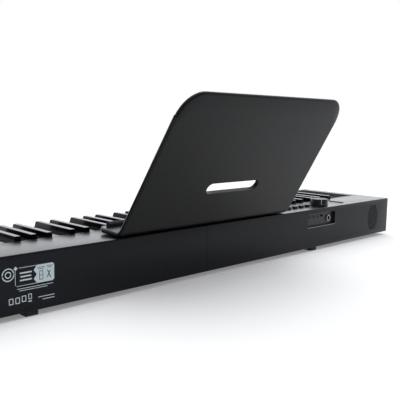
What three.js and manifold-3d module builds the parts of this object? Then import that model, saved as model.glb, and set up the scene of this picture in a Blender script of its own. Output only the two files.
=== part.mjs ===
// An 88-key digital piano with its music rest: a slim moulded case, a full keyboard, a row of
// buttons and a volume knob on the panel behind the keys, a jack recess at the back, and speakers
// in both end blocks. Units are millimetres. +X runs to the treble end, +Y to the rear and +Z up.
// The origin lies on the floor, under the middle of the whole outline, music rest included.
import * as THREE from "three";
import { mergeVertices } from "three/addons/utils/BufferGeometryUtils.js";
import Module from "manifold-3d";

const wasm = await Module();
wasm.setup();

// Case
const caseHeight = 82.5;
const footHeight = 8;
const wall = 3;
const panelDepth = 82; // control panel, from the rear face to the back of the visible keys
const endBlockWidth = 106;
const railDepth = 12; // key slip, front to back
const baseThickness = 4;
const fit = 0.3; // gap between fixed pieces that touch
const seamX = -78.3; // joint between the two mouldings of the upper case
const seamGap = 0.6;
const panelLipDrop = 9; // the panel's front edge hangs down this far behind the keys

// Keys
const whiteKeyCount = 52;
const whitePitch = 23.5;
const keyGap = 1; // between two keys, and between a key and the case
const whiteVisible = 153;
const whiteThickness = 12;
const whiteLipHeight = 20;
const whiteLipDepth = 7;
const whiteBelowCase = 6;
const blackAboveWhite = 13;
const blackVisible = 105; // along its top
const blackBaseWidth = 11.5;
const blackTopWidth = 9.5;
const blackNoseSlope = 5; // the nose leans back this far over its height
const tailDrop = 14; // tail tops lie this far under the white key tops
const tailThickness = 8;
const tailLength = 36; // from the panel's front edge to the end of a tail
const hingeFromPanelFront = 32;
const stepLength = 8;
const blackTailShort = 2; // black tails end this far in front of the white rail
const combRailDepth = 6; // rail that joins the tails of a moulded set of keys
const combRailThickness = 4;
const combRailLift = 1.5; // a black set's rail passes this far above the white tails
const keyDip = 10; // travel of a white key at its front

// Music rest
const restFromSeam = -17.2;
const restWidthBottom = 421;
const restWidthTop = 397;
const restHeight = 255; // along the slope
const restThickness = 8;
const restLean = THREE.MathUtils.degToRad(31.5); // back from upright
const restTopRadius = 38;
const restBottomRadius = 10;
const restSlotLength = 129;
const restSlotHeight = 21;
const restSlotUp = 82.5; // from the bottom edge to the middle of the slot
const shelfDepth = 60;
const shelfThickness = 5;
const shelfFrontThickness = 7.5;
const shelfUnderRise = 2.5;
const shelfCornerRadius = 14;
const stopDepth = 9; // page stop along the front of the shelf
const stopHeight = 8;
const stopChamfer = 2.5;
const stopFromFront = 3;
const stopInset = 18; // from each end of the shelf
const pegWidth = 40;
const pegThickness = 5;
const pegDrop = 12; // below the panel's top face
const pegSpread = 240; // between the two pegs
const pegFromRear = 30;
const pegClearance = 0.5;

// Controls on the panel
const buttonCount = 5;
const buttonPitch = 22;
const buttonWidth = 12;
const buttonDepth = 7;
const buttonProud = 5;
const buttonFromRear = 33;
const firstButtonFromRest = 28; // from the shelf's bass end to the first button's middle
const buttonTravel = 1;
const buttonClearance = 0.3;
const flangeMargin = 1.5;
const flangeThickness = 1.5;
const stemLength = 2.5; // below the flange
const knobFromButtons = 39.3; // from the last button's middle
const knobFromRear = 29;
const knobRadius = 19.5;
const knobHeight = 14.6;
const knobClearance = 0.6; // under the knob
const knobEdge = 1.2;
const shaftRadius = 3;
const shaftClearance = 0.5;
const encoderSize = 14;
const powerFromKnob = 83;
const powerWidth = 8;
const powerDepth = 34;
const powerProud = 1.5;
const powerFromRear = 38;
const boardThickness = 1.6;
const boardMargin = 14;
const boardDrop = 9.4; // from the case top to the control board's top
const boardFromRear = 12;

// Jack recess at the back
const recessWidth = 104;
const recessHeight = 31.5;
const recessBelowTop = 8.5;
const recessFromKnob = 29;
const recessDepth = 6;
const recessPlate = 3;
const recessRim = 1.5;
const miniJackCount = 3;
const jackPitch = 14.5;
const firstJackFromEdge = 13.5;
const jackFromRecessTop = 9; // axes of the small sockets
const miniJackNose = 4;
const miniJackHole = 1.8;
const miniJackHoleDepth = 9;
const miniJackWidth = 12;
const miniJackDepth = 14;
const miniJackRise = 5; // body above its axis
const usbWidth = 9;
const usbHeight = 3.4;
const usbShell = 1;
const usbDepth = 8;
const usbBodyWidth = 11;
const phoneFromLast = 24.2; // from the USB socket's middle
const phoneFromRecessTop = 16.2;
const phoneNose = 4.7;
const phoneHole = 3.25;
const phoneHoleDepth = 20;
const phoneBody = 17;
const phoneDepth = 24;
const nutRadius = 6.6;
const nutDepth = 2.4;

// Speakers
const topSpeakerRadius = 35;
const topSpeakerDepth = 34;
const rearSpeakerRadius = 29;
const rearSpeakerDepth = 26;
const rearGrilleRadius = 27;
const rearGrilleHole = 1.5;
const rearGrillePitch = 5.2;
const rearGrilleFromKeys = 35.5; // from the end of the keys to the middle of the round grille
const grilleWidth = 80; // dark inset of the end block, from the keys outwards
const grilleRim = 3;
const grilleThickness = 2.5;
const grilleSlotCount = 16;
const grilleSlotMargin = 6;
const grilleSlotShare = 0.45; // open share of the slot pitch
const magnetShare = 0.55;

// Keybed
const keybedPlate = 3;
const keybedRib = 8;
const contactFromPanel = 60;
const contactBoardDepth = 44;
const contactBoardDrop = 13.5; // under the white keys
const frontStopGap = 2.5; // left under a fully pressed white key
const keybedEndGap = 2;

// Feet
const footLength = 20;
const footDepth = 24;
const footInset = 4;
const footFromSeam = 3.8; // from the seam to the middle between the feet
const footSpread = 673;

// Places worked out from the sizes above
const keyboardWidth = whiteKeyCount * whitePitch;
const halfKeys = keyboardWidth / 2;
const endX = halfKeys + endBlockWidth;
const caseDepth = panelDepth + whiteVisible + railDepth;
const restOverhang = restHeight * Math.sin(restLean);
const rearY = (caseDepth - restOverhang) / 2;
const panelFrontY = rearY - panelDepth;
const keyFrontY = panelFrontY - whiteVisible;
const frontY = keyFrontY - railDepth;
const caseBottom = footHeight;
const caseTop = footHeight + caseHeight;
const whiteTop = caseTop - whiteBelowCase;
const whiteUnder = whiteTop - whiteThickness;
const lipBottom = whiteTop - whiteLipHeight;
const blackTop = whiteTop + blackAboveWhite;
const tailTop = whiteTop - tailDrop;
const tailBottom = tailTop - tailThickness;
const keyRearY = panelFrontY - keyGap;
const tailEndY = panelFrontY + tailLength;
const blackEndY = tailEndY - blackTailShort;
const hingeY = panelFrontY + hingeFromPanelFront;
const restX = seamX + restFromSeam;
const restBassEnd = restX - restWidthBottom / 2;
const panelUnder = caseTop - wall;
const buttonX = (i) => restBassEnd - firstButtonFromRest - i * buttonPitch;
const knobX = buttonX(buttonCount - 1) - knobFromButtons;
const powerX = knobX - powerFromKnob;
const recessX = knobX + recessFromKnob;
const recessTop = caseTop - recessBelowTop;
const boardTop = caseTop - boardDrop;

// Materials
const finish = (color, roughness, metalness = 0) =>
  new THREE.MeshStandardMaterial({ color, roughness, metalness });
const caseBlack = finish(0x26272a, 0.6);
const panelBlack = finish(0x1d1d1f, 0.35);
const restBlack = finish(0x37383a, 0.45);
const keyWhite = finish(0xf0efe9, 0.3);
const keyBlack = finish(0x151516, 0.35);
const controlBlack = finish(0x1a1a1c, 0.5);
const grilleBlack = finish(0x121213, 0.8);
const rubberBlack = finish(0x17171a, 0.9);
const boardGreen = finish(0x1f4a33, 0.6);
const nickel = finish(0xc8c9cc, 0.25, 1);
const steel = finish(0x9a9da1, 0.4, 1);
const paperCone = finish(0x202022, 0.9);

// Solids: every shape becomes a closed manifold, so pieces can be joined and cut.
function solid(geometry) {
  const bare = geometry.index ? geometry.toNonIndexed() : geometry.clone();
  bare.deleteAttribute("normal");
  bare.deleteAttribute("uv");
  const merged = mergeVertices(bare, 1e-4);
  return new wasm.Manifold(
    new wasm.Mesh({
      numProp: 3,
      vertProperties: merged.attributes.position.array,
      triVerts: new Uint32Array(merged.index.array),
    }),
  );
}

function box(x0, x1, y0, y1, z0, z1) {
  const geometry = new THREE.BoxGeometry(x1 - x0, y1 - y0, z1 - z0);
  geometry.translate((x0 + x1) / 2, (y0 + y1) / 2, (z0 + z1) / 2);
  return solid(geometry);
}

// A side profile of [y, z] points, drawn out along X from x0 to x1.
function sideProfile(points, x0, x1) {
  const shape = new THREE.Shape(points.map(([y, z]) => new THREE.Vector2(y, z)));
  const geometry = new THREE.ExtrudeGeometry(shape, { depth: x1 - x0, bevelEnabled: false });
  geometry.applyMatrix4(
    new THREE.Matrix4().set(0, 0, 1, x0, 1, 0, 0, 0, 0, 1, 0, 0, 0, 0, 0, 1),
  );
  return solid(geometry);
}

// A section of [x, z] points, drawn out along Y from y0 to y1.
function crossSection(points, y0, y1) {
  const shape = new THREE.Shape(points.map(([x, z]) => new THREE.Vector2(x, z)));
  const geometry = new THREE.ExtrudeGeometry(shape, { depth: y1 - y0, bevelEnabled: false });
  geometry.rotateX(Math.PI / 2);
  geometry.translate(0, y1, 0);
  return solid(geometry);
}

// A turned piece from [radius, height] points, its axis standing on (x, y) from height z.
function turned(points, x, y, z, segments = 32) {
  const profile = points.map(([r, h]) => new THREE.Vector2(r, h));
  const geometry = new THREE.LatheGeometry(profile, segments);
  geometry.rotateX(Math.PI / 2);
  geometry.translate(x, y, z);
  return solid(geometry);
}

// The same with its axis along -Y, so that height 0 lies on y and grows into the case.
function turnedBack(points, x, y, z, segments = 24) {
  const profile = points.map(([r, h]) => new THREE.Vector2(r, h));
  const geometry = new THREE.LatheGeometry(profile, segments);
  geometry.rotateX(Math.PI);
  geometry.translate(x, y, z);
  return solid(geometry);
}

const rod = (radius, length) => [
  [0, 0],
  [radius, 0],
  [radius, length],
  [0, length],
];

const piano = new THREE.Group();

function add(name, manifold, material) {
  const mesh = manifold.getMesh();
  const positions = new Float32Array(mesh.numVert * 3);
  for (let i = 0; i < mesh.numVert; i++) {
    positions.set(mesh.vertProperties.subarray(i * mesh.numProp, i * mesh.numProp + 3), i * 3);
  }
  const geometry = new THREE.BufferGeometry();
  geometry.setAttribute("position", new THREE.BufferAttribute(positions, 3));
  geometry.setIndex(new THREE.BufferAttribute(new Uint32Array(mesh.triVerts), 1));
  geometry.computeVertexNormals();
  const node = new THREE.Mesh(geometry, material);
  node.name = name;
  piano.add(node);
}

// Upper case: each half is one moulding of rear wall, control panel and end wall.
const casePanel = [
  [rearY, caseBottom],
  [rearY, caseTop],
  [panelFrontY, caseTop],
  [panelFrontY, caseTop - panelLipDrop],
  [panelFrontY + wall, caseTop - panelLipDrop],
  [panelFrontY + wall, panelUnder],
  [rearY - wall, panelUnder],
  [rearY - wall, caseBottom],
];
const caseOutline = [
  [rearY, caseBottom],
  [rearY, caseTop],
  [panelFrontY, caseTop],
  [panelFrontY, caseBottom],
];
const rearGrilleX = halfKeys + rearGrilleFromKeys;
const rearGrilleZ = (caseBottom + caseTop) / 2;

// A round field of small holes through the rear wall, on a triangular grid.
function rearGrilleHoles(x) {
  const rowPitch = (rearGrillePitch * Math.sqrt(3)) / 2;
  const rows = Math.floor(rearGrilleRadius / rowPitch);
  let holes = null;
  for (let row = -rows; row <= rows; row++) {
    const z = row * rowPitch;
    const halfRow = Math.sqrt(rearGrilleRadius ** 2 - z ** 2);
    const shift = row % 2 === 0 ? 0 : rearGrillePitch / 2;
    const across = Math.floor((halfRow - shift) / rearGrillePitch);
    for (let i = -across - (shift > 0 ? 1 : 0); i <= across; i++) {
      const hole = turnedBack(
        rod(rearGrilleHole, wall + 2),
        x + i * rearGrillePitch + shift,
        rearY + 1,
        rearGrilleZ + z,
        6,
      );
      holes = holes ? holes.add(hole) : hole;
    }
  }
  return holes;
}

function pegSlot(side) {
  const x = restX + (side * pegSpread) / 2;
  const y = rearY - pegFromRear;
  const halfX = pegWidth / 2 + pegClearance;
  const halfY = pegThickness / 2 + pegClearance;
  return box(x - halfX, x + halfX, y - halfY, y + halfY, panelUnder - 1, caseTop + 1);
}

function buttonHole(x, fromRear, width, depth) {
  const y = rearY - fromRear;
  const halfX = width / 2 + buttonClearance;
  const halfY = depth / 2 + buttonClearance;
  return box(x - halfX, x + halfX, y - halfY, y + halfY, panelUnder - 1, caseTop + 1);
}

const seamHalf = seamGap / 2;
let upperTreble = sideProfile(casePanel, seamX + seamHalf, endX)
  .add(sideProfile(caseOutline, endX - wall, endX))
  .subtract(rearGrilleHoles(rearGrilleX))
  .subtract(pegSlot(1));
let upperBass = sideProfile(casePanel, -endX, seamX - seamHalf)
  .add(sideProfile(caseOutline, -endX, -endX + wall))
  .subtract(rearGrilleHoles(-rearGrilleX))
  .subtract(pegSlot(-1))
  .subtract(buttonHole(powerX, powerFromRear, powerWidth, powerDepth))
  .subtract(
    turned(rod(shaftRadius + shaftClearance, wall + 2), knobX, rearY - knobFromRear, panelUnder - 1, 16),
  )
  .subtract(
    box(
      recessX - recessWidth / 2,
      recessX + recessWidth / 2,
      rearY - wall - 1,
      rearY + 1,
      recessTop - recessHeight,
      recessTop,
    ),
  );
for (let i = 0; i < buttonCount; i++) {
  upperBass = upperBass.subtract(buttonHole(buttonX(i), buttonFromRear, buttonWidth, buttonDepth));
}
add("upper_case_bass", upperBass, caseBlack);
add("upper_case_treble", upperTreble, caseBlack);

// End blocks: open boxes beside the keys, each with a grille let into its top.
const blockInnerX = halfKeys + keyGap / 2 + fit;
const blockRearY = panelFrontY - fit;
const grilleInnerX = blockInnerX + grilleRim;
const grilleOuterX = halfKeys + grilleWidth;
const grilleFrontY = frontY + railDepth;
const grilleRearY = blockRearY - grilleRim;

// A box between two distances from the middle, on the treble side (1) or the bass side (-1).
function sideBox(side, near, far, y0, y1, z0, z1) {
  return side > 0 ? box(near, far, y0, y1, z0, z1) : box(-far, -near, y0, y1, z0, z1);
}

for (const [name, side] of [
  ["bass", -1],
  ["treble", 1],
]) {
  const block = sideBox(side, blockInnerX, endX, frontY, blockRearY, caseBottom, caseTop)
    .subtract(
      sideBox(
        side,
        blockInnerX + wall,
        endX - wall,
        frontY + wall,
        blockRearY + 1,
        caseBottom - 1,
        caseTop - wall,
      ),
    )
    .subtract(
      sideBox(side, grilleInnerX, grilleOuterX, grilleFrontY, grilleRearY, caseTop - wall - 1, caseTop + 1),
    );
  add("end_block_" + name, block, caseBlack);

  let grille = sideBox(
    side,
    grilleInnerX + fit,
    grilleOuterX - fit,
    grilleFrontY + fit,
    grilleRearY - fit,
    caseTop - grilleThickness,
    caseTop - fit,
  );
  const slotPitch = (grilleRearY - grilleFrontY - 2 * grilleSlotMargin) / grilleSlotCount;
  for (let i = 0; i < grilleSlotCount; i++) {
    const middle = grilleFrontY + grilleSlotMargin + (i + 0.5) * slotPitch;
    const half = (slotPitch * grilleSlotShare) / 2;
    grille = grille.subtract(
      sideBox(
        side,
        grilleInnerX + grilleSlotMargin,
        grilleOuterX - grilleSlotMargin,
        middle - half,
        middle + half,
        caseTop - grilleThickness - 1,
        caseTop + 1,
      ),
    );
  }
  add("top_grille_" + name, grille, grilleBlack);
}

// Key slip: the rail along the front of the keys, between the end blocks.
const slipTop = lipBottom + 1.5;
const slipRearY = keyFrontY - 1.5;
add(
  "key_slip",
  sideProfile(
    [
      [frontY, caseBottom],
      [frontY, slipTop],
      [slipRearY, slipTop],
      [slipRearY, slipTop - wall],
      [frontY + wall, slipTop - wall],
      [frontY + wall, caseBottom],
    ],
    -blockInnerX + fit,
    blockInnerX - fit,
  ),
  caseBlack,
);

// Base board closes the case from below.
const baseInset = wall + fit;
add(
  "base_board",
  box(
    -endX + baseInset,
    endX - baseInset,
    frontY + baseInset,
    rearY - baseInset,
    caseBottom,
    caseBottom + baseThickness,
  ).subtract(
    // room for the inner wall of each end block
    box(
      blockInnerX - fit,
      blockInnerX + wall + fit,
      frontY,
      blockRearY + fit,
      caseBottom - 1,
      caseBottom + baseThickness + 1,
    ).add(
      box(
        -blockInnerX - wall - fit,
        -blockInnerX + fit,
        frontY,
        blockRearY + fit,
        caseBottom - 1,
        caseBottom + baseThickness + 1,
      ),
    ),
  ),
  caseBlack,
);

// Feet: rubber blocks under the rear and front edges of the base board.
for (const [name, x] of [
  ["bass", seamX + footFromSeam - footSpread / 2],
  ["treble", seamX + footFromSeam + footSpread / 2],
]) {
  for (const [row, y0] of [
    ["rear", rearY - footInset - footDepth],
    ["front", frontY + footInset],
  ]) {
    add(
      "foot_" + row + "_" + name,
      box(x - footLength / 2, x + footLength / 2, y0, y0 + footDepth, 0, caseBottom - fit),
      rubberBlack,
    );
  }
}

// Keybed: one long chassis with a front stop, a ledge for the contact board and the key fulcrum.
const keybedBottom = caseBottom + baseThickness + fit;
const keybedTop = keybedBottom + keybedPlate;
const frontStopY = keyFrontY + whiteLipDepth / 2;
const frontStopTop = lipBottom - keyDip - frontStopGap;
const contactY = panelFrontY - contactFromPanel;
const contactBottom = whiteUnder - contactBoardDrop;
const fulcrumTop = tailBottom - fit;
const rib = (middle, top) => [
  [middle - keybedRib / 2, keybedTop],
  [middle - keybedRib / 2, top],
  [middle + keybedRib / 2, top],
  [middle + keybedRib / 2, keybedTop],
];
add(
  "keybed_chassis",
  sideProfile(
    [
      [keyFrontY, keybedBottom],
      ...rib(frontStopY + keybedRib / 2, frontStopTop),
      ...rib(contactY, contactBottom - fit),
      ...rib(hingeY, fulcrumTop),
      [hingeY + keybedRib, keybedTop],
      [hingeY + keybedRib, keybedBottom],
    ].filter((point, i) => i > 0 || point[0] < frontStopY),
    -halfKeys + keybedEndGap,
    halfKeys - keybedEndGap,
  ),
  steel,
);
add(
  "key_contact_board",
  box(
    -halfKeys + keybedEndGap,
    halfKeys - keybedEndGap,
    contactY - contactBoardDepth / 2,
    contactY + contactBoardDepth / 2,
    contactBottom,
    contactBottom + boardThickness,
  ),
  boardGreen,
);

// Keys. Black keys sit at these distances from the left edge of C, by the note they raise.
const blackPlaces = {
  c_sharp: whitePitch - 2.3,
  d_sharp: 2 * whitePitch + 2.3,
  f_sharp: 4 * whitePitch - 3.2,
  g_sharp: 5 * whitePitch,
  a_sharp: 6 * whitePitch + 3.2,
};
const whiteNotes = ["c", "d", "e", "f", "g", "a", "b"];
const octaveWidth = whiteNotes.length * whitePitch;
const octaveX = (octave) => -halfKeys + 2 * whitePitch + (octave - 1) * octaveWidth;
const blackX = (note, octave) => octaveX(octave) + blackPlaces[note];
const blackFrontY = panelFrontY - blackVisible;
const blackNoseY = blackFrontY - blackNoseSlope;

function whiteKey(note, octave) {
  const left = octaveX(octave) + whiteNotes.indexOf(note) * whitePitch;
  let key = sideProfile(
    [
      [keyFrontY, lipBottom],
      [keyFrontY, whiteTop],
      [keyRearY, whiteTop],
      [keyRearY, tailTop],
      [tailEndY, tailTop],
      [tailEndY, tailBottom],
      [keyRearY - stepLength, tailBottom],
      [keyRearY - stepLength, whiteUnder],
      [keyFrontY + whiteLipDepth, whiteUnder],
      [keyFrontY + whiteLipDepth, lipBottom],
    ],
    left + keyGap / 2,
    left + whitePitch - keyGap / 2,
  );
  const half = blackBaseWidth / 2 + keyGap;
  for (const black of Object.keys(blackPlaces)) {
    const x = blackX(black, octave);
    const beyondKeyboard = octave === 0 && black !== "a_sharp";
    if (beyondKeyboard || x + half < left || x - half > left + whitePitch) continue;
    key = key.subtract(
      box(x - half, x + half, blackNoseY - keyGap, tailEndY + 1, tailBottom - 1, whiteTop + 1),
    );
  }
  return key;
}

function blackKey(note, octave) {
  const x = blackX(note, octave);
  const base = blackBaseWidth / 2;
  const top = blackTopWidth / 2;
  const section = crossSection(
    [
      [x - base, tailBottom],
      [x + base, tailBottom],
      [x + base, whiteTop],
      [x + top, blackTop],
      [x - top, blackTop],
      [x - base, whiteTop],
    ],
    blackNoseY,
    blackEndY,
  );
  return section.intersect(
    sideProfile(
      [
        [blackNoseY, whiteUnder],
        [blackNoseY, whiteTop],
        [blackFrontY, blackTop],
        [keyRearY, blackTop],
        [keyRearY, tailTop],
        [blackEndY, tailTop],
        [blackEndY, tailBottom],
        [keyRearY - stepLength, tailBottom],
        [keyRearY - stepLength, whiteUnder],
      ],
      x - base - 1,
      x + base + 1,
    ),
  );
}

// A moulded set: the keys of one run, joined behind the panel by a rail.
function whiteSet(notes) {
  let set = null;
  for (const [note, octave] of notes) {
    const key = whiteKey(note, octave);
    set = set ? set.add(key) : key;
  }
  const bounds = set.boundingBox();
  return set.add(
    box(
      bounds.min[0],
      bounds.max[0],
      tailEndY - 0.5,
      tailEndY + combRailDepth,
      tailBottom,
      tailTop,
    ),
  );
}

function blackSet(notes) {
  const railBottom = tailTop + combRailLift;
  const railTop = railBottom + combRailThickness;
  const railFrontY = blackEndY - combRailDepth;
  let set = null;
  for (const [note, octave] of notes) {
    const x = blackX(note, octave);
    const key = blackKey(note, octave).add(
      box(
        x - blackBaseWidth / 2,
        x + blackBaseWidth / 2,
        railFrontY,
        blackEndY,
        tailTop - 1,
        railTop,
      ),
    );
    set = set ? set.add(key) : key;
  }
  const bounds = set.boundingBox();
  return set.add(box(bounds.min[0], bounds.max[0], railFrontY, blackEndY, railBottom, railTop));
}

const whites = (octave) => whiteNotes.map((note) => [note, octave]);
const blacks = (octave) => Object.keys(blackPlaces).map((note) => [note, octave]);
const keySets = [
  ["a0_b1", [["a", 0], ["b", 0], ...whites(1)], [["a_sharp", 0], ...blacks(1)]],
  ["c2_b2", whites(2), blacks(2)],
  ["c3_b3", whites(3), blacks(3)],
  ["c5_b5", whites(5), blacks(5)],
  ["c6_b6", whites(6), blacks(6)],
  ["c7_c8", [...whites(7), ["c", 8]], blacks(7)],
];
for (const [name, whiteNotesOfSet, blackNotesOfSet] of keySets) {
  add("white_keys_" + name, whiteSet(whiteNotesOfSet), keyWhite);
  add("black_keys_" + name, blackSet(blackNotesOfSet), keyBlack);
}
for (const [note, octave] of whites(4)) {
  add("key_" + note + octave, whiteKey(note, octave), keyWhite);
}
for (const [note, octave] of blacks(4)) {
  add("key_" + note + octave, blackKey(note, octave), keyBlack);
}

// Buttons: caps that stand out of the panel, each with a flange under it and a stem to its switch.
function pushButton(x, fromRear, width, depth, proud) {
  const y = rearY - fromRear;
  const flangeTop = panelUnder - fit;
  const flangeBottom = flangeTop - flangeThickness;
  const halfX = width / 2;
  const halfY = depth / 2;
  return box(x - halfX, x + halfX, y - halfY, y + halfY, flangeBottom - stemLength, caseTop + proud).add(
    box(
      x - halfX - flangeMargin,
      x + halfX + flangeMargin,
      y - halfY - flangeMargin,
      y + halfY + flangeMargin,
      flangeBottom,
      flangeTop,
    ),
  );
}
for (let i = 0; i < buttonCount; i++) {
  add(
    "button_" + (i + 1),
    pushButton(buttonX(i), buttonFromRear, buttonWidth, buttonDepth, buttonProud),
    controlBlack,
  );
}
add("power_button", pushButton(powerX, powerFromRear, powerWidth, powerDepth, powerProud), controlBlack);

// Control board under the panel, with the body of the volume control standing on it.
const knobY = rearY - knobFromRear;
const encoderTop = panelUnder - fit;
const shaftBottom = boardTop + 1;
add(
  "control_board",
  box(
    powerX - boardMargin,
    restBassEnd - boardMargin / 2,
    rearY - buttonFromRear - powerDepth,
    rearY - boardFromRear,
    boardTop - boardThickness,
    boardTop,
  )
    .add(
      box(
        knobX - encoderSize / 2,
        knobX + encoderSize / 2,
        knobY - encoderSize / 2,
        knobY + encoderSize / 2,
        boardTop - boardThickness / 2,
        encoderTop,
      ),
    )
    .subtract(
      turned(rod(shaftRadius + shaftClearance, caseHeight), knobX, knobY, shaftBottom - fit, 16),
    ),
  boardGreen,
);

// Volume knob with its spindle.
const knobBottom = caseTop + knobClearance;
const knobTop = knobBottom + knobHeight;
add(
  "volume_knob",
  turned(
    [
      [0, shaftBottom],
      [shaftRadius, shaftBottom],
      [shaftRadius, knobBottom],
      [knobRadius, knobBottom],
      [knobRadius, knobTop - knobEdge],
      [knobRadius - knobEdge, knobTop],
      [0, knobTop],
    ],
    knobX,
    knobY,
    0,
    48,
  ),
  controlBlack,
);

// Jack panel: a shallow tray let into the rear wall, its sockets on a board behind it.
const trayLeft = recessX - recessWidth / 2 + fit;
const trayRight = recessX + recessWidth / 2 - fit;
const trayTop = recessTop - fit;
const trayBottom = recessTop - recessHeight + fit;
const trayFloorY = rearY - recessDepth;
const trayBackY = trayFloorY - recessPlate;
const jackX = (i) => recessX + recessWidth / 2 - firstJackFromEdge - i * jackPitch;
const jackZ = recessTop - jackFromRecessTop;
const usbX = jackX(miniJackCount) - 0.7;
const phoneX = usbX - phoneFromLast;
const phoneZ = recessTop - phoneFromRecessTop;
let tray = box(trayLeft, trayRight, trayBackY, rearY, trayBottom, trayTop).subtract(
  box(
    trayLeft + recessRim,
    trayRight - recessRim,
    trayFloorY,
    rearY + 1,
    trayBottom + recessRim,
    trayTop - recessRim,
  ),
);
for (let i = 0; i < miniJackCount; i++) {
  tray = tray.subtract(
    turnedBack(rod(miniJackNose + fit, recessPlate + 2), jackX(i), trayFloorY + 1, jackZ),
  );
}
tray = tray
  .subtract(
    box(
      usbX - usbWidth / 2 - usbShell - fit,
      usbX + usbWidth / 2 + usbShell + fit,
      trayBackY - 1,
      trayFloorY + 1,
      jackZ - usbHeight / 2 - usbShell - fit,
      jackZ + usbHeight / 2 + usbShell + fit,
    ),
  )
  .subtract(turnedBack(rod(phoneNose + fit, recessPlate + 2), phoneX, trayFloorY + 1, phoneZ));
add("jack_panel", tray, controlBlack);

const bodyFrontY = trayBackY - fit;
const phoneBodyBottom = phoneZ - phoneBody / 2;
const jackBoardTop = phoneBodyBottom - fit;
const miniJackNames = ["sustain_jack", "aux_in_jack", "line_out_jack"];
miniJackNames.forEach((name, i) => {
  const x = jackX(i);
  const jack = box(
    x - miniJackWidth / 2,
    x + miniJackWidth / 2,
    bodyFrontY - miniJackDepth,
    bodyFrontY,
    jackBoardTop + fit,
    jackZ + miniJackRise,
  )
    .add(turnedBack(rod(miniJackNose, recessPlate + fit + 1), x, trayFloorY, jackZ))
    .subtract(turnedBack(rod(miniJackHole, miniJackHoleDepth + 1), x, trayFloorY + 1, jackZ, 12));
  add(name, jack, controlBlack);
});
add(
  "usb_socket",
  box(
    usbX - usbBodyWidth / 2,
    usbX + usbBodyWidth / 2,
    bodyFrontY - usbDepth,
    bodyFrontY,
    jackBoardTop + fit,
    jackZ + miniJackRise,
  )
    .add(
      box(
        usbX - usbWidth / 2 - usbShell,
        usbX + usbWidth / 2 + usbShell,
        bodyFrontY - 1,
        trayFloorY,
        jackZ - usbHeight / 2 - usbShell,
        jackZ + usbHeight / 2 + usbShell,
      ),
    )
    .subtract(
      box(
        usbX - usbWidth / 2,
        usbX + usbWidth / 2,
        bodyFrontY - usbDepth + 1,
        trayFloorY + 1,
        jackZ - usbHeight / 2,
        jackZ + usbHeight / 2,
      ),
    ),
  steel,
);
add(
  "headphone_jack",
  box(
    phoneX - phoneBody / 2,
    phoneX + phoneBody / 2,
    bodyFrontY - phoneDepth,
    bodyFrontY,
    phoneBodyBottom,
    phoneZ + phoneBody / 2,
  )
    .add(
      turnedBack(rod(phoneNose, nutDepth + recessPlate + fit + 1), phoneX, trayFloorY + nutDepth, phoneZ),
    )
    .subtract(
      turnedBack(rod(phoneHole, phoneHoleDepth + nutDepth + 1), phoneX, trayFloorY + nutDepth + 1, phoneZ),
    ),
  controlBlack,
);
add(
  "headphone_jack_nut",
  turnedBack(rod(nutRadius, nutDepth), phoneX, trayFloorY + fit + nutDepth, phoneZ).subtract(
    turnedBack(rod(phoneNose + fit, nutDepth + 2), phoneX, trayFloorY + fit + nutDepth + 1, phoneZ),
  ),
  nickel,
);
add(
  "jack_board",
  box(
    trayLeft + recessRim,
    trayRight - recessRim,
    bodyFrontY - phoneDepth,
    bodyFrontY,
    jackBoardTop - boardThickness,
    jackBoardTop,
  ),
  boardGreen,
);

// Speakers: a rimmed basket that narrows to its magnet, with the cone sunk into the front.
function speakerProfile(radius, depth) {
  const magnet = radius * magnetShare;
  const rim = 3;
  return [
    [0, radius * 0.3],
    [radius * 0.3, radius * 0.25],
    [radius - rim, 1],
    [radius - rim, 0],
    [radius, 0],
    [radius, rim],
    [magnet, depth * 0.6],
    [magnet, depth],
    [0, depth],
  ];
}
const topSpeakerX = (grilleInnerX + grilleOuterX) / 2;
const topSpeakerY = (grilleFrontY + grilleRearY) / 2;
for (const [name, side] of [
  ["bass", -1],
  ["treble", 1],
]) {
  const downward = speakerProfile(topSpeakerRadius, topSpeakerDepth).map(([r, h]) => [r, -h]);
  add(
    "top_speaker_" + name,
    turned(downward.reverse(), side * topSpeakerX, topSpeakerY, caseTop - wall - fit, 32),
    paperCone,
  );
  add(
    "rear_speaker_" + name,
    turnedBack(
      speakerProfile(rearSpeakerRadius, rearSpeakerDepth),
      side * rearGrilleX,
      rearY - wall - fit,
      rearGrilleZ,
      32,
    ),
    paperCone,
  );
}

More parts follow.
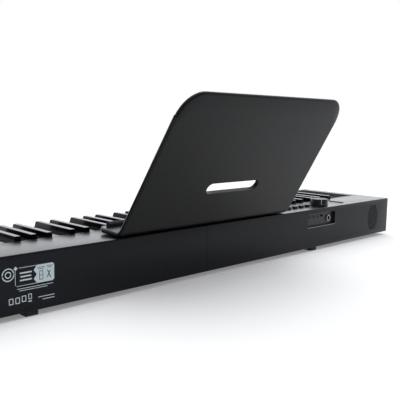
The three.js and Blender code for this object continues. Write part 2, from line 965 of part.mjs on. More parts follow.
// Music rest: a leaning plate and a shelf in one moulding, with two pegs that drop into the panel.
const restZ = caseTop + fit;
function restPlate() {
  const halfBottom = restWidthBottom / 2;
  const halfTop = restWidthTop / 2;
  const taper = (halfBottom - halfTop) / restHeight;
  const edgeAt = (v) => halfBottom - v * taper;
  const shape = new THREE.Shape();
  shape.moveTo(-halfBottom + restBottomRadius, 0);
  shape.lineTo(halfBottom - restBottomRadius, 0);
  shape.quadraticCurveTo(halfBottom, 0, edgeAt(restBottomRadius), restBottomRadius);
  shape.lineTo(edgeAt(restHeight - restTopRadius), restHeight - restTopRadius);
  shape.bezierCurveTo(
    edgeAt(restHeight - restTopRadius * 0.45),
    restHeight - restTopRadius * 0.45,
    halfTop - restTopRadius * 0.45,
    restHeight,
    halfTop - restTopRadius,
    restHeight,
  );
  shape.lineTo(-halfTop + restTopRadius, restHeight);
  shape.bezierCurveTo(
    -halfTop + restTopRadius * 0.45,
    restHeight,
    -edgeAt(restHeight - restTopRadius * 0.45),
    restHeight - restTopRadius * 0.45,
    -edgeAt(restHeight - restTopRadius),
    restHeight - restTopRadius,
  );
  shape.lineTo(-edgeAt(restBottomRadius), restBottomRadius);
  shape.quadraticCurveTo(-halfBottom, 0, -halfBottom + restBottomRadius, 0);
  const slot = new THREE.Path();
  const end = restSlotHeight / 2;
  const straight = restSlotLength / 2 - end;
  slot.absarc(-straight, restSlotUp, end, Math.PI / 2, (3 * Math.PI) / 2, false);
  slot.absarc(straight, restSlotUp, end, -Math.PI / 2, Math.PI / 2, false);
  slot.closePath();
  shape.holes.push(slot);
  const geometry = new THREE.ExtrudeGeometry(shape, {
    depth: restThickness,
    bevelEnabled: false,
    curveSegments: 10,
  });
  // from its own plane to upright, then leaned back about its rear bottom edge
  geometry.rotateX(Math.PI / 2);
  geometry.rotateX(-restLean);
  geometry.translate(restX, rearY, restZ);
  return solid(geometry);
}

const shelfFrontY = rearY - shelfDepth;
const shelfTopZ = (y) => {
  const share = (rearY - y) / shelfDepth;
  return restZ + shelfThickness + share * (shelfUnderRise + shelfFrontThickness - shelfThickness);
};
function restShelf() {
  const half = restWidthBottom / 2;
  const profile = sideProfile(
    [
      [rearY, restZ],
      [rearY + shelfThickness * Math.tan(restLean), restZ + shelfThickness],
      [shelfFrontY, shelfTopZ(shelfFrontY)],
      [shelfFrontY, restZ + shelfUnderRise],
    ],
    restX - half,
    restX + half,
  );
  const plan = new THREE.Shape();
  const rearPlanY = rearY + shelfThickness;
  plan.moveTo(restX - half, rearPlanY);
  plan.lineTo(restX - half, shelfFrontY + shelfCornerRadius);
  plan.absarc(
    restX - half + shelfCornerRadius,
    shelfFrontY + shelfCornerRadius,
    shelfCornerRadius,
    Math.PI,
    1.5 * Math.PI,
    false,
  );
  plan.absarc(
    restX + half - shelfCornerRadius,
    shelfFrontY + shelfCornerRadius,
    shelfCornerRadius,
    1.5 * Math.PI,
    2 * Math.PI,
    false,
  );
  plan.lineTo(restX + half, rearPlanY);
  const outline = new THREE.ExtrudeGeometry(plan, {
    depth: shelfThickness + shelfUnderRise + shelfFrontThickness + 2,
    bevelEnabled: false,
    curveSegments: 8,
  });
  outline.translate(0, 0, restZ - 1);
  return profile.intersect(solid(outline));
}

function restPeg(side) {
  const x = restX + (side * pegSpread) / 2;
  const y = rearY - pegFromRear;
  return box(
    x - pegWidth / 2,
    x + pegWidth / 2,
    y - pegThickness / 2,
    y + pegThickness / 2,
    caseTop - pegDrop,
    restZ + shelfThickness,
  );
}
add("music_rest", restPlate().add(restShelf()).add(restPeg(-1)).add(restPeg(1)), restBlack);

const stopFrontY = shelfFrontY + stopFromFront;
const stopRearY = stopFrontY + stopDepth;
const stopSide = [
  [stopFrontY, shelfTopZ(stopFrontY) + fit],
  [stopFrontY, shelfTopZ(stopFrontY) + stopHeight - stopChamfer],
  [stopFrontY + stopChamfer, shelfTopZ(stopFrontY) + stopHeight],
  [stopRearY - stopChamfer, shelfTopZ(stopRearY) + stopHeight],
  [stopRearY, shelfTopZ(stopRearY) + stopHeight - stopChamfer],
  [stopRearY, shelfTopZ(stopRearY) + fit],
];
add(
  "page_stop",
  sideProfile(
    stopSide,
    restX - restWidthBottom / 2 + stopInset,
    restX + restWidthBottom / 2 - stopInset,
  ),
  rubberBlack,
);

export default piano;
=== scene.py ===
import math

import bmesh
import bpy
from mathutils import Matrix, Vector


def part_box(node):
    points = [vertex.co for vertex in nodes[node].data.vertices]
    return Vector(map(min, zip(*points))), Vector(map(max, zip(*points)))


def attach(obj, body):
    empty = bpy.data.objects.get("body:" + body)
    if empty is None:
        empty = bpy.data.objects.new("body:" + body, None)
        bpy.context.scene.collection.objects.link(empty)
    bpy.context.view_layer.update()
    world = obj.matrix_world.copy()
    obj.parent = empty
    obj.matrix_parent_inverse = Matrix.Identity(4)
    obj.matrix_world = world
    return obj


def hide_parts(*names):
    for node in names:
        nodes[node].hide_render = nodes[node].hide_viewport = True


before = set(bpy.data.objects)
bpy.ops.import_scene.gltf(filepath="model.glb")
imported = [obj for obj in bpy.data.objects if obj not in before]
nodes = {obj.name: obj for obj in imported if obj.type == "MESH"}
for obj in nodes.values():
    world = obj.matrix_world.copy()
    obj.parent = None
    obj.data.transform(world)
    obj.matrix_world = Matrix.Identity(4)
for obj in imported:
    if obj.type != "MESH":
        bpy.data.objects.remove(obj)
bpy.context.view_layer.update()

# ---- Where the piano is seen from
# From behind the treble end, a little above the case, looking along the back towards the bass end.
# The camera leans about a degree, as a hand-set tripod head does.
rear_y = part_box("upper_case_bass")[1][1]
camera = bpy.data.objects.new("camera", bpy.data.cameras.new("camera"))
bpy.context.scene.collection.objects.link(camera)
bpy.context.scene.camera = camera
camera.data.sensor_width = 36.0
camera.data.lens = 55.96
camera.data.clip_start = 0.02
camera.data.clip_end = 60.0
turn, dip, lean = math.radians(45.21), math.radians(7.31), math.radians(1.03)
ahead = Vector(
    (-math.sin(turn) * math.cos(dip), -math.cos(turn) * math.cos(dip), -math.sin(dip))
)
across = ahead.cross(Vector((0, 0, 1))).normalized()
above = across.cross(ahead)
right = math.cos(lean) * across + math.sin(lean) * above
up = -math.sin(lean) * across + math.cos(lean) * above
camera_spot = (0.6908, rear_y + 0.7441, 0.2724)
camera.matrix_world = Matrix.Translation(camera_spot) @ Matrix(
    (right, up, -ahead)
).transposed().to_4x4()

# ---- Floor and light
# A white paper floor that gives off a little light, and a room that is bright beyond the bass
# front corner and dim beyond the treble rear one, so that level tops shine and the back stays
# dark. The camera sees plain white. One wide soft box hangs overhead, a weak one off the bass end.
bpy.context.scene.view_settings.view_transform = "Standard"


def linear(colour):
    """An sRGB hex colour as linear red, green, blue and alpha."""
    parts = [int(colour[i : i + 2], 16) / 255 for i in (1, 3, 5)]
    return [p / 12.92 if p <= 0.04045 else ((p + 0.055) / 1.055) ** 2.4 for p in parts] + [1.0]


def put(tree, kind, inputs=(), **settings):
    """Adds one shader node, with its settings, and its inputs as values or links."""
    node = tree.nodes.new("ShaderNode" + kind)
    for name, value in settings.items():
        setattr(node, name, value)
    for name, value in dict(inputs).items():
        if isinstance(value, bpy.types.NodeSocket):
            tree.links.new(value, node.inputs[name])
        else:
            node.inputs[name].default_value = value
    return node


world = bpy.data.worlds.new("pale_room")
bpy.context.scene.world = world
world.use_nodes = True
air = world.node_tree
facing = put(air, "SeparateXYZ", {"Vector": put(air, "TexCoord").outputs["Generated"]})
sidelong = put(air, "Math", {0: facing.outputs["X"], 1: facing.outputs["Y"]}, operation="ADD")
fall = put(
    air,
    "MapRange",
    {
        "Value": sidelong.outputs[0],
        "From Min": -1.1,
        "From Max": 0.1,
        "To Min": 1.75,
        "To Max": 0.3,
    },
)
room = put(air, "Background", {"Color": linear("#f8faff"), "Strength": fall.outputs[0]})
sheet = put(air, "Background", {"Color": linear("#ffffff"), "Strength": 1.0})
seen = put(air, "LightPath").outputs["Is Camera Ray"]
both = put(air, "MixShader", {0: seen, 1: room.outputs[0], 2: sheet.outputs[0]})
air.links.new(both.outputs[0], air.nodes["World Output"].inputs["Surface"])


def soft_box(name, spot, aim, width, height, watts, colour):
    """A rectangular area light that stands at spot and faces aim."""
    lamp = bpy.data.lights.new(name, "AREA")
    lamp.shape = "RECTANGLE"
    lamp.size, lamp.size_y = width, height
    lamp.energy = watts
    lamp.color = linear(colour)[:3]
    holder = bpy.data.objects.new(name, lamp)
    bpy.context.scene.collection.objects.link(holder)
    holder.location = spot
    holder.rotation_mode = "QUATERNION"
    holder.rotation_quaternion = (Vector(aim) - Vector(spot)).to_track_quat("-Z", "Y")


soft_box("overhead", (0.0, 0.3, 2.6), (0.0, 0.0, 0.1), 3.6, 2.4, 34.0, "#ffffff")
soft_box("bass_side", (-2.8, 1.6, 1.2), (-0.4, 0.0, 0.1), 1.2, 1.4, 1.5, "#fff9f0")

floor_half = 2.0
floor = bpy.data.objects.new("floor", bpy.data.meshes.new("floor"))
bpy.context.scene.collection.objects.link(floor)
floor.data.from_pydata(
    [(x * floor_half, y * floor_half, 0) for x, y in ((-1, -1), (1, -1), (1, 1), (-1, 1))],
    [],
    [(0, 1, 2, 3)],
)
sweep = bpy.data.materials.new("white_paper_sweep")
sweep.use_nodes = True
sweep_paper = sweep.node_tree.nodes["Principled BSDF"]
sweep_paper.inputs["Base Color"].default_value = linear("#fbfbfb")
sweep_paper.inputs["Roughness"].default_value = 0.9
sweep_paper.inputs["Emission Color"].default_value = linear("#ffffff")
sweep_paper.inputs["Emission Strength"].default_value = 0.2
floor.data.materials.append(sweep)

# ---- Upper case, end blocks and key slip
# Black ABS mouldings: satin, with a fine spark-eroded grain that breaks up the highlights, and
# edges drawn to about 1.5 mm. The level top faces get a lighter, glossier copy of the same black,
# a painted sheen for the light on the tops; the real moulding has one finish. Each upper
# case is one moulding, cut out for the rear grille, the rest's pegs, the jacks and the controls.


def moulded(name, colour, roughness, grain, depth, spread=0.05, shade=0.1, ior=1.5, metallic=0.0):
    """A finish with grain across in mm, depth of relief in mm, and a slow drift of tone."""
    material = bpy.data.materials.new(name)
    material.use_nodes = True
    tree = material.node_tree
    surface = tree.nodes["Principled BSDF"]
    surface.inputs["Metallic"].default_value = metallic
    surface.inputs["IOR"].default_value = ior
    place = put(tree, "TexCoord").outputs["Object"]
    fine = put(tree, "TexNoise", {"Vector": place, "Scale": 1000 / grain, "Detail": 3.0})
    broad = put(tree, "TexNoise", {"Vector": place, "Scale": 1000 / 70, "Detail": 4.0})
    both = put(
        tree,
        "Math",
        {0: fine.outputs["Fac"], 1: broad.outputs["Fac"]},
        operation="ADD",
    ).outputs[0]
    tone = put(
        tree,
        "MapRange",
        {"Value": both, "From Min": 0.6, "From Max": 1.4, "To Min": 1 - shade, "To Max": 1 + shade},
    )
    paint = put(tree, "HueSaturation", {"Value": tone.outputs[0], "Color": linear(colour)})
    tree.links.new(paint.outputs[0], surface.inputs["Base Color"])
    gloss = put(
        tree,
        "MapRange",
        {
            "Value": both,
            "From Min": 0.6,
            "From Max": 1.4,
            "To Min": roughness - spread,
            "To Max": roughness + spread,
        },
    )
    tree.links.new(gloss.outputs[0], surface.inputs["Roughness"])
    relief = put(
        tree,
        "Bump",
        {"Height": fine.outputs["Fac"], "Distance": depth / 1000, "Strength": 1.0},
    )
    tree.links.new(relief.outputs[0], surface.inputs["Normal"])
    return material


case_abs = moulded("grained_black_ABS", "#0d0f15", 0.2, 0.9, 0.002, spread=0.03, ior=1.24)
# A lighter, glossier copy of the case black for the level top faces: painted sheen, not a second
# finish.
top_painted_sheen_abs = moulded("black_ABS_painted_top_sheen", "#1b1a18", 0.3, 0.9, 0.004, spread=0.04, ior=1.55)


def plain_box(low, high):
    """A box mesh with sharp edges, for cutting."""
    body = bmesh.new()
    bmesh.ops.create_cube(body, size=1.0)
    for v in body.verts:
        v.co = Vector([low[i] if v.co[i] < 0 else high[i] for i in range(3)])
    return body


def rounded_box(low, high, radius, soft=lambda a, b: True, steps=4):
    """A box mesh whose edges picked by soft(end, end) are rounded to radius."""
    body = plain_box(low, high)
    bmesh.ops.bevel(
        body,
        geom=[e for e in body.edges if soft(e.verts[0].co, e.verts[1].co)],
        offset=radius,
        offset_type="OFFSET",
        segments=steps,
        profile=0.5,
        affect="EDGES",
    )
    return body


def make(name, shape, material, body, part, *stands_for):
    """Turns a bmesh into a piece in a material slot; it rides on a body, and may replace nodes."""
    mesh = bpy.data.meshes.new(name)
    bmesh.ops.recalc_face_normals(shape, faces=shape.faces[:])
    shape.to_mesh(mesh)
    shape.free()
    for face in mesh.polygons:
        face.use_smooth = True
    mesh.set_sharp_from_angle(angle=math.radians(35))
    mesh.materials.append(material)
    piece = bpy.data.objects.new(name, mesh)
    bpy.context.scene.collection.objects.link(piece)
    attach(piece, body)
    if stands_for:
        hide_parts(*stands_for)
    return piece


def carve(shape, cutters):
    """Cuts every cutter out of a bmesh and returns what is left as a new bmesh."""
    holders = []
    for part in [shape, *cutters]:
        bmesh.ops.recalc_face_normals(part, faces=part.faces[:])
        mesh = bpy.data.meshes.new("carving")
        part.to_mesh(mesh)
        part.free()
        holder = bpy.data.objects.new("carving", mesh)
        bpy.context.scene.collection.objects.link(holder)
        holders.append(holder)
    for cutter in holders[1:]:
        cut = holders[0].modifiers.new("cut", "BOOLEAN")
        cut.operation, cut.solver, cut.object = "DIFFERENCE", "EXACT", cutter
    graph = bpy.context.evaluated_depsgraph_get()
    left = bmesh.new()
    left.from_mesh(holders[0].evaluated_get(graph).to_mesh())
    for holder in holders:
        mesh = holder.data
        bpy.data.objects.remove(holder)
        bpy.data.meshes.remove(mesh)
    return left


def merge(whole, piece):
    """Adds one bmesh to another, and frees it."""
    spare = bpy.data.meshes.new("spare")
    piece.to_mesh(spare)
    piece.free()
    whole.from_mesh(spare)
    bpy.data.meshes.remove(spare)


def paint_top_sheen(piece, top):
    """Gives the level top faces of a case moulding a lighter, glossier copy of its black: painted
    sheen.
    """
    piece.data.materials.append(top_painted_sheen_abs)
    for face in piece.data.polygons:
        if face.normal.z > 0.9 and face.center.z > top - 0.001:
            face.material_index = 1


def rod(radius, spot, axis, length, sides=24):
    """A cylinder from spot along axis, for pins, holes and screws."""
    body = bmesh.new()
    bmesh.ops.create_cone(
        body, cap_ends=True, segments=sides, radius1=radius, radius2=radius, depth=length
    )
    aim = Vector(axis).to_track_quat("Z", "Y").to_matrix().to_4x4()
    middle = Vector(spot) + Vector(axis).normalized() * length / 2
    bmesh.ops.transform(body, matrix=Matrix.Translation(middle) @ aim, verts=body.verts[:])
    return body


case_wall, lip_drop, case_edge = 0.003, 0.009, 0.0015
past = 0.01  # how far a cutter stands out of what it cuts
clearance = 0.0003
peg_offset, peg_slot_half, peg_slot_reach, peg_middle = 0.12, 0.0205, 0.003, 0.030
recess_depth, cap_overlap, shaft_hole = 0.006, 0.0012, 0.0035
grille_pitch, grille_wide, grille_tall, grille_hole = 0.0052, 0.023, 0.031, 0.0018
for half in ("bass", "treble"):
    low, high = [Vector(c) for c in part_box("upper_case_" + half)]
    outer = high.x if half == "treble" else low.x
    shell = rounded_box(
        low,
        high,
        case_edge,
        soft=lambda a, b: abs(a.x - b.x) > 0.1
        and (a.z > 0.05 or a.y > 0)
        or abs(a.x - outer) < 1e-5
        and abs(b.x - outer) < 1e-5
        and (a.z > 0.05 or b.z > 0.05)
        and (a.y > 0 or b.y > 0),
    )
    inner_low = Vector((low.x - past, low.y + case_wall, low.z - past))
    inner_high = Vector((high.x + past, high.y - case_wall, high.z - case_wall))
    if half == "treble":
        inner_high.x = high.x - case_wall
    else:
        inner_low.x = low.x + case_wall
    front_low = Vector((inner_low.x, low.y - past, low.z - past))
    front_high = Vector((inner_high.x, low.y + past, high.z - lip_drop))
    cutters = [plain_box(inner_low, inner_high), plain_box(front_low, front_high)]
    side = 1 if half == "treble" else -1
    speaker_low, speaker_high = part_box("rear_speaker_" + half)
    middle_x = (speaker_low[0] + speaker_high[0]) / 2
    middle_z = (speaker_low[2] + speaker_high[2]) / 2
    holes = bmesh.new()
    row_pitch = grille_pitch * math.sqrt(3) / 2
    rows = int(grille_tall / row_pitch)
    for row in range(-rows, rows + 1):
        shift = grille_pitch / 2 if row % 2 else 0.0
        for column in range(-6, 7):
            x, z = column * grille_pitch + shift, row * row_pitch
            if math.hypot(x / grille_wide, z / grille_tall) < 1:
                start = (middle_x + x, high.y + 0.002, middle_z + z)
                merge(holes, rod(grille_hole, start, (0, -1, 0), 0.008, 10))
    cutters.append(holes)
    peg_x = (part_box("music_rest")[0][0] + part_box("music_rest")[1][0]) / 2 + side * peg_offset
    peg_y = rear_y - peg_middle
    cutters.append(
        plain_box(
            (peg_x - peg_slot_half, peg_y - peg_slot_reach, high.z - past),
            (peg_x + peg_slot_half, peg_y + peg_slot_reach, high.z + past),
        )
    )
    if half == "bass":
        jack_low, jack_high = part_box("jack_panel")
        cutters.append(
            plain_box(
                (jack_low[0] - clearance, high.y - recess_depth, jack_low[2] - clearance),
                (jack_high[0] + clearance, high.y + past, jack_high[2] + clearance),
            )
        )
        for n in ["button_%d" % i for i in range(1, 6)] + ["power_button"]:
            b_low, b_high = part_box(n)
            cutters.append(
                plain_box(
                    (b_low[0] + cap_overlap, b_low[1] + cap_overlap, high.z - past),
                    (b_high[0] - cap_overlap, b_high[1] - cap_overlap, high.z + past),
                )
            )
        k_low, k_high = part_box("volume_knob")
        cutters.append(
            rod(
                shaft_hole,
                ((k_low[0] + k_high[0]) / 2, (k_low[1] + k_high[1]) / 2, high.z - past),
                (0, 0, 1),
                2 * past,
            )
        )
    carved = carve(shell, cutters)
    piece = make(
        "upper_case_shell_" + half, carved, case_abs, "case", "case_plastic", "upper_case_" + half
    )
    # The level top faces take the lighter copy of the black: painted sheen.
    paint_top_sheen(piece, high.z)

for name in ("bass", "treble"):
    low, high = [Vector(c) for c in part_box("end_block_" + name)]
    grille_low, grille_high = [Vector(c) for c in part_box("top_grille_" + name)]
    outer = high.x if name == "treble" else low.x
    shell = rounded_box(
        low,
        high,
        case_edge,
        soft=lambda a, b: abs(a.x - b.x) > 0.05
        and a.y < low.y + 1e-5
        or abs(a.x - outer) < 1e-5
        and abs(b.x - outer) < 1e-5
        and (a.z > 0.05 or b.z > 0.05 or a.y < low.y + 1e-5 and b.y < low.y + 1e-5),
    )
    hollow = plain_box(
        (low.x + case_wall, low.y + case_wall, low.z - past),
        (high.x - case_wall, high.y + past, high.z - case_wall),
    )
    mouth = plain_box(
        (grille_low.x - clearance, grille_low.y - clearance, high.z - past),
        (grille_high.x + clearance, grille_high.y + clearance, high.z + past),
    )
    carved = carve(shell, [hollow, mouth])
    piece = make(
        "end_block_shell_" + name, carved, case_abs, "case", "case_plastic", "end_block_" + name
    )
    # The level top faces take the lighter copy of the black: painted sheen.
    paint_top_sheen(piece, high.z)


def refine(name, material, radius, steps=3):
    """Rounds the sharp edges of a CAD node by radius in mm, and gives it its finish."""
    piece = nodes[name]
    piece.data.materials.clear()
    piece.data.materials.append(material)
    for face in piece.data.polygons:
        face.use_smooth = True
    weld = piece.modifiers.new("weld", "WELD")
    weld.merge_threshold = 0.00001
    flat = piece.modifiers.new("flat", "DECIMATE")
    flat.decimate_type = "DISSOLVE"
    flat.angle_limit = math.radians(0.5)
    if radius:
        edge = piece.modifiers.new("edge", "BEVEL")
        edge.width = radius / 1000
        edge.segments = steps
        edge.limit_method = "ANGLE"
        edge.angle_limit = math.radians(30)
        edge.use_clamp_overlap = True
    piece.modifiers.new("shading", "WEIGHTED_NORMAL").weight = 100


refine("key_slip", case_abs, 1.2)

# ---- Base board and chassis
# The base is a flat ABS tray floor, screwed up into the mouldings. The chassis above it is
# bright zinc-plated sheet steel, rolled into ridges that the keys rock and stop on.
base_abs = moulded("coarse_black_ABS", "#1b1c1e", 0.55, 1.4, 0.03)
refine("base_board", base_abs, 0)
zinc = moulded("zinc_plated_steel", "#a9adb1", 0.32, 2.5, 0.004, metallic=1.0)
refine("keybed_chassis", zinc, 0)

# ---- Rating label and moulding marks on the rear wall
# A printed polyester label and screen-printed marks, drawn as plain bars, frames and rings with
# no lettering. They lie on the wall near the treble end.
label_ink = moulded("pale_blue_white_print", "#c3d0d6", 0.45, 0.8, 0.001, shade=0.03)
dark_ink = moulded("dark_print", "#1b1d21", 0.45, 0.8, 0.001, shade=0.03)
wall_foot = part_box("upper_case_treble")[0][2]


def flat(name, outlines, material, lift):
    """Thin plates on the rear wall; each outline is x and height in mm above the case bottom."""
    plates = bmesh.new()
    for outline in outlines:
        rows = [
            [
                plates.verts.new((x / 1000, rear_y + y / 1000, wall_foot + z / 1000))
                for x, z in outline
            ]
            for y in (-0.2, lift)
        ]
        plates.faces.new(rows[0])
        plates.faces.new(rows[1])
        for i in range(len(outline)):
            j = (i + 1) % len(outline)
            plates.faces.new((rows[0][i], rows[0][j], rows[1][j], rows[1][i]))
    return make(name, plates, material, "case", "case_plastic")


def bar(x, z, long, thick):
    """An outline of a level bar."""
    return [(x, z), (x + long, z), (x + long, z + thick), (x, z + thick)]


def arc(x, z, radius, thick, start, stop):
    """An outline of part of a ring, between two angles in degrees."""
    turns = [math.radians(start + (stop - start) * k / 18) for k in range(19)]
    near, far = radius - thick, radius
    return [(x + far * math.cos(a), z + far * math.sin(a)) for a in turns] + [
        (x + near * math.cos(a), z + near * math.sin(a)) for a in reversed(turns)
    ]


def frame_bars(x, z, long, tall, thick):
    """The four bars of an upright rectangle."""
    return [
        bar(x, z, long, thick),
        bar(x, z + tall - thick, long, thick),
        bar(x, z + thick, thick, tall - 2 * thick),
        bar(x + long - thick, z + thick, thick, tall - 2 * thick),
    ]


pale_half = [
    (229, 41),
    (231.5, 38.5),
    (256, 38.5),
    (261, 45),
    (256.5, 51.2),
    (261, 57.5),
    (256, 64),
    (231.5, 64),
    (229, 61.5),
]
light = [
    pale_half,
    bar(256, 38.5, 31, 0.7),
    bar(256, 63.3, 27, 0.7),
    bar(288.3, 40, 0.7, 20.5),
    bar(264, 55.2, 18, 2.0),
    bar(265, 50.2, 16, 2.0),
    bar(264, 45.2, 18, 2.0),
    [(288, 60.5), (291, 63.5), (288, 66.5), (285, 63.5)],
    bar(231, 34.4, 55, 0.8),
    bar(240, 31.6, 43, 0.8),
    bar(229, 17.8, 26, 1.0),
    bar(229, 13.8, 19, 1.0),
    arc(299, 56.5, 9.0, 1.4, 0, 170),
    arc(299, 56.5, 9.0, 1.4, 180, 350),
    arc(299, 56.5, 4.6, 1.4, 0, 170),
    arc(299, 56.5, 4.6, 1.4, 180, 350),
    *frame_bars(292, 15.0, 6.6, 8.6, 1.1),
    *frame_bars(282.5, 15.0, 6.6, 8.6, 1.1),
    *frame_bars(273, 16.0, 6.6, 8.6, 1.1),
    *frame_bars(264.5, 18.0, 5.2, 7.6, 1.0),
    bar(264.5, 14.4, 5.2, 1.6),
]
dark = [
    *frame_bars(246.5, 42.5, 6.0, 12.5, 0.9),
    bar(246.5, 48.4, 6.0, 0.8),
    bar(243.5, 59.6, 12.0, 0.8),
    bar(245.0, 57.4, 9.0, 0.8),
    bar(231.5, 60.2, 9.5, 0.8),
    bar(232.5, 58.0, 7.5, 0.8),
    [(234, 43), (235.4, 43), (240.4, 55), (239, 55)],
    [(239.6, 44), (241, 44), (236.0, 54), (234.6, 54)],
]
flat("rear_label_light_print", light, label_ink, 0.08)
flat("rear_label_dark_print", dark, dark_ink, 0.14)

# ---- Circuit boards
# Fibreglass boards under green lacquer: smooth and a little wavy over the copper.
lacquer = moulded("green_solder_lacquer", "#1f4a33", 0.3, 3.0, 0.01, shade=0.2)
for board in ("key_contact_board", "control_board", "jack_board"):
    refine(board, lacquer, 0)

# ---- White keys
# Injection-moulded acrylic-coated ABS, polished, faintly warm. The top edges are drawn to about
# 0.8 mm, so each key catches its own thin line of light beside the dark gap.
ivory = moulded("polished_white_acrylic", "#f1efe8", 0.2, 6.0, 0.004, spread=0.04, shade=0.015)
key_surface = ivory.node_tree.nodes["Principled BSDF"]
key_surface.inputs["Coat Weight"].default_value = 0.4
key_surface.inputs["Coat Roughness"].default_value = 0.08
key_surface.inputs["Subsurface Weight"].default_value = 0.04
sets = ("a0_b1", "c2_b2", "c3_b3", "c5_b5", "c6_b6", "c7_c8")
for run in sets:
    refine("white_keys_" + run, ivory, 0.8)
for note in "cdefgab":
    refine("key_%s4" % note, ivory, 0.8)

# ---- Black keys
# Satin black ABS with sloping sides and nose, and edges drawn to about 1 mm.
ebony = moulded("satin_black_key_ABS", "#050506", 0.16, 1.2, 0.002, spread=0.03, ior=1.28)
for run in sets:
    refine("black_keys_" + run, ebony, 1.1)
for note in ("c_sharp", "d_sharp", "f_sharp", "g_sharp", "a_sharp"):
    refine("key_%s4" % note, ebony, 1.1)

# ---- Speaker grilles and drivers
# The top grilles are matt mouldings with sixteen slots over a black scrim. The drivers behind
# them have pulp cones with a dust cap and a rubber surround.
grille_abs = moulded("matt_black_grille_ABS", "#0a0a0b", 0.8, 0.9, 0.03, ior=1.25)
pulp = moulded("pressed_pulp_cone", "#0b0b0c", 0.95, 0.8, 0.06, ior=1.2)
for name in ("bass", "treble"):
    refine("top_grille_" + name, grille_abs, 0.4, steps=2)
    refine("top_speaker_" + name, pulp, 0)
    refine("rear_speaker_" + name, pulp, 0)

# ---- Buttons and knob
# Satin ABS caps with edges drawn to 0.6 mm. The knob is turned: a thin skirt, fine flutes, a
# dished top, and a pale printed pointer that runs over the edge and down the side.
control_abs = moulded("satin_black_control_ABS", "#101012", 0.35, 0.8, 0.012, ior=1.4)
for n in ["button_%d" % i for i in range(1, 6)] + ["power_button"]:
    refine(n, control_abs, 0.6)
knob_low, knob_high = [Vector(c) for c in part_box("volume_knob")]
knob_spot = (knob_low + knob_high) / 2
knob_radius, knob_top = (knob_high.x - knob_low.x) / 2, knob_high.z
knob_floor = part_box("upper_case_bass")[1][2]
# share of the radius, and height, from the dished top down to the skirt
profile = [
    (0.45, knob_top - 0.0008),
    (0.78, knob_top - 0.0004),
    (0.86, knob_top),
    (0.9, knob_top),
    (0.94, knob_top - 0.0004),
    (0.96, knob_top - 0.0012),
    (0.985, knob_floor + 0.0032),
    (0.985, knob_floor + 0.0024),
    (1.0, knob_floor + 0.0021),
    (1.0, knob_floor + 0.0006),
]
turned = bmesh.new()
knob_sides, flute_depth, pointer_half, pointer_turn = 120, 0.00025, 0.0006, 49.5
rings = []
for share, z in profile:
    ring = []
    for k in range(knob_sides):
        a = 2 * math.pi * k / knob_sides
        deep = flute_depth if k % 3 == 0 and 0.95 < share < 0.99 else 0.0
        reach = share * knob_radius - deep
        spot = (knob_spot.x + reach * math.cos(a), knob_spot.y + reach * math.sin(a), z)
        ring.append(turned.verts.new(spot))
    rings.append(ring)
for one, two in zip(rings, rings[1:]):
    for i in range(knob_sides):
        turned.faces.new((one[i], one[(i + 1) % knob_sides], two[(i + 1) % knob_sides], two[i]))
turned.faces.new(rings[0])
turned.faces.new(rings[-1])
make("volume_knob_cap", turned, control_abs, "volume_knob", "control_plastic", "volume_knob")
shaft_length = knob_floor + 0.001 - knob_low.z
shaft = rod(0.003, (knob_spot.x, knob_spot.y, knob_low.z), (0, 0, 1), shaft_length)
make("volume_knob_shaft", shaft, control_abs, "volume_knob", "control_plastic")
pale_ink = moulded("pale_grey_ink", "#cfd4d8", 0.5, 0.8, 0.002, shade=0.04)
aim = Matrix.Translation((knob_spot.x, knob_spot.y, 0))
aim = aim @ Matrix.Rotation(math.radians(pointer_turn), 4, "Z")
pointer = rounded_box(
    Vector((knob_radius * 0.72, -pointer_half, knob_top - 0.003)),
    Vector((knob_radius * 0.99, pointer_half, knob_top + 0.0001)),
    0.0003,
    steps=2,
)
low_half = rounded_box(
    Vector((knob_radius * 0.9, -pointer_half, knob_floor + 0.004)),
    Vector((knob_radius * 0.99, pointer_half, knob_top - 0.0028)),
    0.0003,
    steps=2,
)
for piece, name in ((pointer, "volume_pointer_top"), (low_half, "volume_pointer_side")):
    bmesh.ops.transform(piece, matrix=aim, verts=piece.verts[:])
    make(name, piece, pale_ink, "volume_knob", "control_plastic")

# ---- Jack panel and sockets
# A satin black insert with black plastic sockets, one dull steel socket shell and a nickel nut
# round the large jack. A thin pale grey rod along the lower edge of the recess is a painted
# highlight on that edge.
jack_abs = moulded("satin_black_jack_ABS", "#131316", 0.4, 0.8, 0.012, ior=1.4)
refine("jack_panel", jack_abs, 0.4)
nickel = moulded("nickel_plated_brass", "#a4a6aa", 0.26, 2.0, 0.002, metallic=1.0)
for n in ("sustain_jack", "aux_in_jack", "line_out_jack", "headphone_jack"):
    refine(n, jack_abs, 0.3)
dull_steel = moulded("blackened_steel", "#3c3d40", 0.45, 2.0, 0.002, metallic=1.0)
refine("usb_socket", dull_steel, 0.2)
refine("headphone_jack_nut", nickel, 0.3)
# Pale grey rod on the recess's lower edge: a painted highlight.
highlight_paint = moulded("pale_grey_painted_highlight", "#8d8f93", 0.35, 0.9, 0.002, shade=0.05)
recess_low, recess_high = [Vector(c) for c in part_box("jack_panel")]
lip_radius = 0.0007
lip_spot = (recess_low.x + 0.001, rear_y - lip_radius / 2, recess_low.z + lip_radius)
lip = rod(lip_radius, lip_spot, (1, 0, 0), recess_high.x - recess_low.x - 0.002, sides=12)
make("jack_recess_painted_highlight", lip, highlight_paint, "case", "case_plastic")

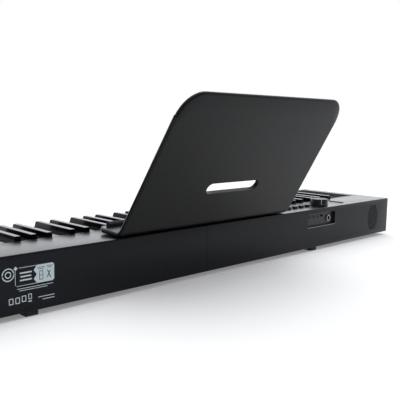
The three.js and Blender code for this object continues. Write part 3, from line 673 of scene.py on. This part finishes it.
# ---- Music rest and page stop
# One thick ABS plate bent into a shelf at its foot, with a full round rim and a finger slot. Two
# pegs under the shelf stand in slots in the case top; a rubber strip stops the pages.
rest_abs = moulded("charcoal_rest_ABS", "#121314", 0.3, 1.1, 0.004, ior=1.25)
rest_low, rest_high = [Vector(c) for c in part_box("music_rest")]
rest_x = (rest_low.x + rest_high.x) / 2
rest_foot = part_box("upper_case_bass")[1][2] + 0.0003
rest_half, rest_half_top, rest_rise, rest_thick = 0.2105, 0.1985, 0.255, 0.0076
rest_lean, shelf_tilt, shelf_reach = math.radians(31.5), math.radians(3.0), 0.060
up_plate = Vector((0, math.sin(rest_lean), math.cos(rest_lean)))
out_plate = Vector((0, -math.cos(rest_lean), math.sin(rest_lean)))
up_shelf = Vector((0, -math.cos(shelf_tilt), math.sin(shelf_tilt)))
out_shelf = Vector((0, math.sin(shelf_tilt), math.cos(shelf_tilt)))
half_thick = rest_thick / 2
heel = Vector((rest_x, rear_y, rest_foot))
# where the middle planes of plate and shelf would meet
knee_along = half_thick * (1 - out_plate.dot(out_shelf)) / up_shelf.dot(out_plate)
knee = heel + out_shelf * half_thick + up_shelf * knee_along
bend = 0.011
corner, shelf_corner = 0.038, 0.014
# one column per section across the rest: share of the half width, height of the plate, reach of
# the shelf, share of the thickness, and how far it stands past the half width
columns = []
for side in (-1, 1):
    for step in range(10):
        inset = corner * (1 - math.cos(math.radians(10 * step)))
        top = rest_rise - corner + corner * math.sin(math.radians(10 * step))
        near = max(shelf_corner - inset, 0.0)
        front = shelf_reach - shelf_corner + math.sqrt(shelf_corner**2 - near**2)
        columns.append((side * (1 - inset / rest_half), top, front, 1.0, 0.0))
    for round_off in (20, 40, 60, 80):
        turn_in = math.radians(round_off)
        columns.append(
            (
                side,
                rest_rise - corner,
                shelf_reach - shelf_corner,
                math.cos(turn_in),
                side * half_thick * math.sin(turn_in),
            )
        )
for share in (-0.6, -0.4, -0.2, 0.0, 0.2, 0.4, 0.6):
    columns.append((share, rest_rise, shelf_reach, 1.0, 0.0))
columns.sort(key=lambda c: (c[0], c[4]))
rest_body = bmesh.new()
loops = []
for share, top, front, swell, overhang in columns:
    path = []
    for k in range(6):
        reach = bend + (front - half_thick - bend) * (5 - k) / 5
        path.append((knee + up_shelf * reach, out_shelf, 0.0))
    for k in range(1, 7):
        w = k / 7
        spot = knee + up_shelf * bend * (1 - w) ** 2 + up_plate * bend * w**2
        path.append((spot, out_shelf.lerp(out_plate, w).normalized(), 0.0))
    for k in range(9):
        reach = bend + (top - half_thick - bend) * k / 8
        path.append((knee + up_plate * reach, out_plate, reach))
    points = []
    for spot, out, reach in path:
        points.append((spot + out * half_thick * swell, reach))
    tip, _, reach = path[-1]
    for k in range(1, 6):
        a = math.radians(90 - 30 * k)
        away = out_plate * math.sin(a) + up_plate * math.cos(a)
        points.append((tip + away * half_thick * swell, reach))
    for spot, out, reach in reversed(path):
        points.append((spot - out * half_thick * swell, reach))
    tip = path[0][0]
    for k in range(1, 6):
        a = math.radians(-90 + 30 * k)
        away = out_shelf * math.sin(a) + up_shelf * math.cos(a)
        points.append((tip + away * half_thick * swell, 0.0))
    loop = []
    for spot, reach in points:
        wide = rest_half - half_thick - (rest_half - rest_half_top) * reach / rest_rise
        loop.append(rest_body.verts.new((rest_x + share * wide + overhang, spot.y, spot.z)))
    loops.append(loop)
for one, two in zip(loops, loops[1:]):
    for i in range(len(one)):
        j = (i + 1) % len(one)
        rest_body.faces.new((one[i], one[j], two[j], two[i]))
rest_body.faces.new(loops[0])
rest_body.faces.new(loops[-1])
slot_cut = bmesh.new()
slot_length, slot_tall, slot_up = 0.129, 0.021, 0.0825
rim = []
for k in range(24):
    a = 2 * math.pi * (k + 0.5) / 24
    x = math.cos(a) * slot_tall / 2 + math.copysign(slot_length / 2 - slot_tall / 2, math.cos(a))
    rim.append((x, slot_up + math.sin(a) * slot_tall / 2))
faces = []
for reach in (-0.01, 0.02):
    ring = [
        slot_cut.verts.new(heel + Vector((x, 0, 0)) + up_plate * along + out_plate * reach)
        for x, along in rim
    ]
    slot_cut.faces.new(ring)
    faces.append(ring)
for i in range(24):
    j = (i + 1) % 24
    slot_cut.faces.new((faces[0][i], faces[0][j], faces[1][j], faces[1][i]))
rest_shape = carve(rest_body, [slot_cut])
make("music_rest_shell", rest_shape, rest_abs, "music_rest", "rest_plastic", "music_rest")
pegs = bmesh.new()
for side in (-1, 1):
    peg_x = rest_x + side * peg_offset
    low = Vector((peg_x - 0.02, rear_y - peg_middle - 0.0025, rest_foot - 0.0123))
    high = Vector((peg_x + 0.02, rear_y - peg_middle + 0.0025, rest_foot + 0.005))
    merge(pegs, rounded_box(low, high, 0.0012))
make("music_rest_pegs", pegs, rest_abs, "music_rest", "rest_plastic")

stop_rubber = moulded("matt_black_rubber", "#171719", 0.8, 1.0, 0.03)
refine("page_stop", stop_rubber, 0.6)

# ---- Feet
# Moulded rubber blocks, matt, with edges drawn to 1.5 mm.
for n in ("foot_rear_bass", "foot_front_bass", "foot_rear_treble", "foot_front_treble"):
    refine(n, stop_rubber, 1.5)
